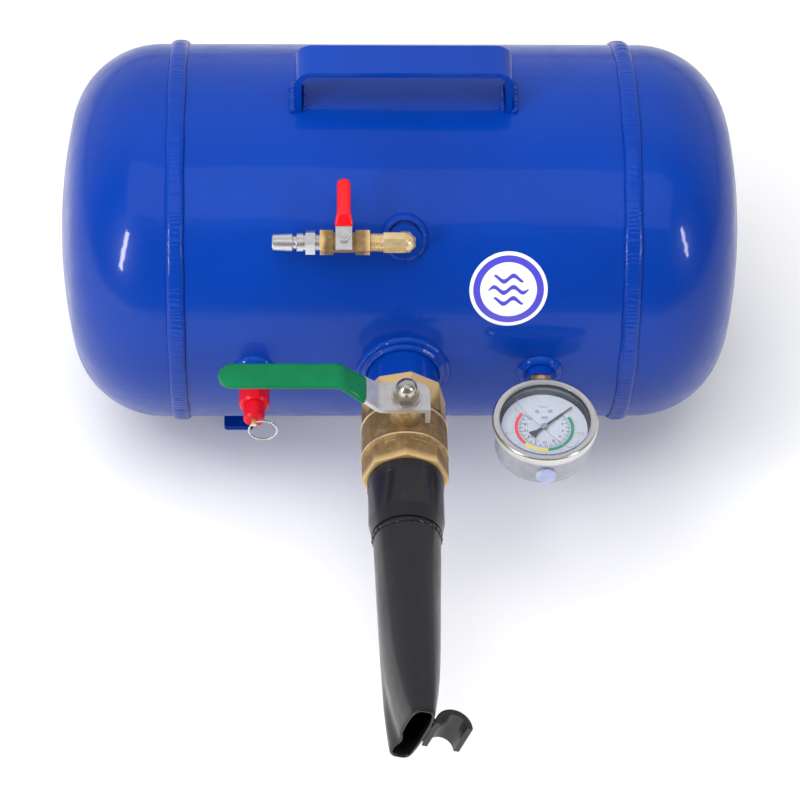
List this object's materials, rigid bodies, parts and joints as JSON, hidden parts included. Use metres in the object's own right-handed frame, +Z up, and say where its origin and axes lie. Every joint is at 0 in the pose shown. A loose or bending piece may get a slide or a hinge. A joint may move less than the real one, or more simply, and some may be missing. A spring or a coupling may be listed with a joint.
{
  "type": "air receiver tank with blast nozzle",
  "caption": "Horizontal welded air receiver on strap feet, with a handle, a lever ball valve and flattened blast nozzle, a gauge, a safety valve and an air inlet.",
  "frame": {"origin": "on the ground, under the centre of the object's bounding box", "axes": "+Z up, X along the tank, -Y towards the nozzle's mouth (front), +X towards the gauge"},
  "size_m": [0.452, 0.5325, 0.3045],
  "materials": {
    "blue_paint": "gloss enamel",
    "black_paint": "semi-gloss enamel",
    "brass": "sand cast and machined",
    "zinc_steel": "zinc plated",
    "stainless": "polished stainless steel",
    "spring_steel": "bright wire",
    "green_vinyl": "dipped vinyl",
    "red_vinyl": "dipped vinyl",
    "red_plastic": "moulded",
    "ptfe": "smooth",
    "rubber": "matt",
    "clear_rubber": "translucent",
    "glass": "clear",
    "dial_white": "printed aluminium",
    "needle_black": "matt",
    "label_vinyl": "printed film"
  },
  "bodies": {
    "tank": {"tank_shell": "blue_paint", "tank_head_left": "blue_paint", "tank_head_right": "blue_paint", "seam_weld_left": "blue_paint", "seam_weld_right": "blue_paint", "handle": "blue_paint", "handle_welds": "blue_paint", "foot_left": "blue_paint", "foot_right": "blue_paint", "foot_welds": "blue_paint", "outlet_nipple": "blue_paint", "outlet_weld": "blue_paint", "gauge_boss": "blue_paint", "safety_boss": "blue_paint", "inlet_boss": "blue_paint", "boss_welds": "blue_paint", "label": "label_vinyl", "valve_body": "brass", "valve_adapter": "brass", "ball_seats": "ptfe", "stem_packing": "ptfe", "gland_nut": "brass", "nozzle_pipe": "black_paint", "nozzle_tube": "black_paint", "nozzle_weld": "black_paint", "rim_hook": "black_paint", "gauge_socket": "brass", "gauge_case": "stainless", "gauge_fill_plug": "clear_rubber", "gauge_gasket": "rubber", "gauge_window": "glass", "gauge_bezel": "stainless", "gauge_dial": "dial_white", "gauge_movement": "brass", "bourdon_tube": "brass", "safety_body": "brass", "safety_cap": "red_plastic", "safety_spring": "spring_steel", "inlet_elbow": "brass", "inlet_valve_body": "brass", "inlet_valve_insert": "brass", "inlet_ball_seats": "ptfe", "quick_plug": "zinc_steel"},
    "main_lever": {"valve_ball": "stainless", "valve_stem": "brass", "valve_lever": "zinc_steel", "lever_grip": "green_vinyl", "lever_nut": "stainless"},
    "safety_pin": {"safety_stem": "brass", "safety_seal": "rubber"},
    "pull_ring": {"pull_ring": "stainless"},
    "gauge_needle": {"gauge_pointer": "needle_black", "gauge_pinion": "brass"},
    "gauge_sector": {"gauge_sector": "brass"},
    "inlet_lever": {"inlet_ball": "stainless", "inlet_stem": "brass", "inlet_lever": "zinc_steel", "inlet_lever_grip": "red_vinyl", "inlet_lever_nut": "zinc_steel"}
  },
  "joints": [
    {"name": "main_lever_turn", "type": "hinge", "parent": "tank", "child": "main_lever", "pos_m": [0, -0.04625, 0.145], "axis": [0, 0, 1], "range_deg": [0, 90]},
    {"name": "inlet_lever_turn", "type": "hinge", "parent": "tank", "child": "inlet_lever", "pos_m": [-0.039, 0.03538, 0.24434], "axis": [0, -0.4067, 0.9135], "range_deg": [0, 90]},
    {"name": "safety_pull", "type": "slide", "parent": "tank", "child": "safety_pin", "axis": [0, -1, 0], "range_m": [0, 0.0025], "stiffness_N_per_m": 600, "springref_m": -0.006, "deforming": ["safety_spring"]},
    {"name": "ring_swing", "type": "hinge", "parent": "safety_pin", "child": "pull_ring", "pos_m": [-0.09602, -0.02995, 0.145], "axis": [-0.788, 0, -0.6157], "range_deg": [0, 170]},
    {"name": "sector_turn", "type": "hinge", "parent": "tank", "child": "gauge_sector", "pos_m": [0.08902, -0.04975, 0.145], "axis": [0, 0, 1], "range_deg": [0, 55.58], "stiffness_Nm_per_rad": 0.0005},
    {"name": "needle_turn", "type": "hinge", "parent": "tank", "child": "gauge_needle", "pos_m": [0.08902, -0.04175, 0.145], "axis": [0, 0, -1], "range_deg": [0, 262.5]}
  ],
  "couplings": [
    {"joint": "needle_turn", "follows": "sector_turn", "ratio": 4.7143}
  ]
}
